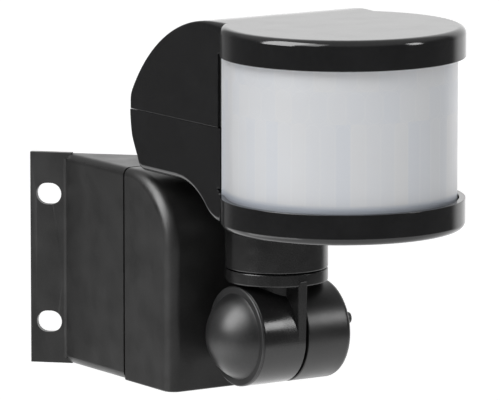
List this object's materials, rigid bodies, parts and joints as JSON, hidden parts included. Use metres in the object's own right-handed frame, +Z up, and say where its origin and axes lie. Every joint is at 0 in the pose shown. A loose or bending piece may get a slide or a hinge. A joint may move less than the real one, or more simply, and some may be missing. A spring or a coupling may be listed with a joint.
{
  "type": "motion sensor",
  "caption": "Corner-mounted passive infrared motion sensor: tilting and panning head with a curved lens, hinge knuckle, base box and 45 degree corner bracket.",
  "frame": {"origin": "on the edge line of the building's outside corner, where the planes of the two flange backs meet, halfway up the flanges", "axes": "+X to the right seen from the front, +Y back into the wall, +Z up; the front of the sensor faces -Y"},
  "size_m": [0.072, 0.1567, 0.1147],
  "materials": {
    "gloss_black": "gloss moulded plastic",
    "satin_black": "satin moulded plastic with a fine grain",
    "soft_black": "matt moulded plastic with a fine grain",
    "milky_lens": "milky translucent polyethylene, ribbed inside",
    "grey_plastic": "matt moulded plastic",
    "ivory_plastic": "satin nylon",
    "black_rubber": "matt rubber",
    "zinc_steel": "zinc plated",
    "grey_cable": "satin cable sheath",
    "board_green": "solder mask",
    "sensor_can": "nickel plated",
    "led_red": "clear red",
    "component_blue": "moulded case",
    "component_amber": "dipped epoxy",
    "capacitor_sleeve": "shrink sleeve"
  },
  "bodies": {
    "base": {"corner_bracket": "satin_black", "base_box": "satin_black", "base_plate": "grey_plastic", "base_gasket": "black_rubber", "mounting_screws": "zinc_steel", "mounting_nuts": "zinc_steel", "locking_screws": "zinc_steel", "terminal_block": "ivory_plastic", "terminal_screws": "zinc_steel", "cable_grommet": "black_rubber", "hinge_bolt": "zinc_steel", "hinge_washer": "zinc_steel", "thrust_washer": "ivory_plastic", "wing_nut": "soft_black", "base_lead": "grey_cable"},
    "knuckle": {"tilt_knuckle": "satin_black", "knuckle_cap": "soft_black", "neck_seal": "black_rubber", "retaining_clip": "zinc_steel", "knuckle_lead": "grey_cable"},
    "head": {"lower_housing": "gloss_black", "upper_housing": "gloss_black", "lens": "milky_lens", "lens_frame": "soft_black", "sensor_board": "board_green", "sensor_carrier": "soft_black", "pir_sensor_left": "sensor_can", "pir_sensor_centre": "sensor_can", "pir_sensor_right": "sensor_can", "status_led": "led_red", "control_board": "board_green", "trim_pots": "component_blue", "power_board": "board_green", "relay": "component_blue", "film_capacitor": "component_amber", "smoothing_capacitor": "capacitor_sleeve", "board_screws": "zinc_steel", "housing_screws": "zinc_steel", "head_lead": "grey_cable"},
    "time_dial": {"time_knob": "soft_black"},
    "lux_dial": {"lux_knob": "soft_black"},
    "range_dial": {"range_knob": "soft_black"}
  },
  "joints": [
    {"name": "tilt", "type": "hinge", "parent": "base", "child": "knuckle", "pos_m": [0, -0.0525, -0.0139], "axis": [1, 0, 0], "range_deg": [0, 45]},
    {"name": "pan", "type": "hinge", "parent": "knuckle", "child": "head", "pos_m": [0, -0.0525, 0.0201], "axis": [0, 0, 1], "range_deg": [-50, 50]},
    {"name": "time_turn", "type": "hinge", "parent": "head", "child": "time_dial", "pos_m": [-0.014, -0.1025, 0.0241], "axis": [0, 0, 1], "range_deg": [-135, 135]},
    {"name": "lux_turn", "type": "hinge", "parent": "head", "child": "lux_dial", "pos_m": [0, -0.1055, 0.0241], "axis": [0, 0, 1], "range_deg": [-135, 135]},
    {"name": "range_turn", "type": "hinge", "parent": "head", "child": "range_dial", "pos_m": [0.014, -0.1025, 0.0241], "axis": [0, 0, 1], "range_deg": [-135, 135]}
  ]
}
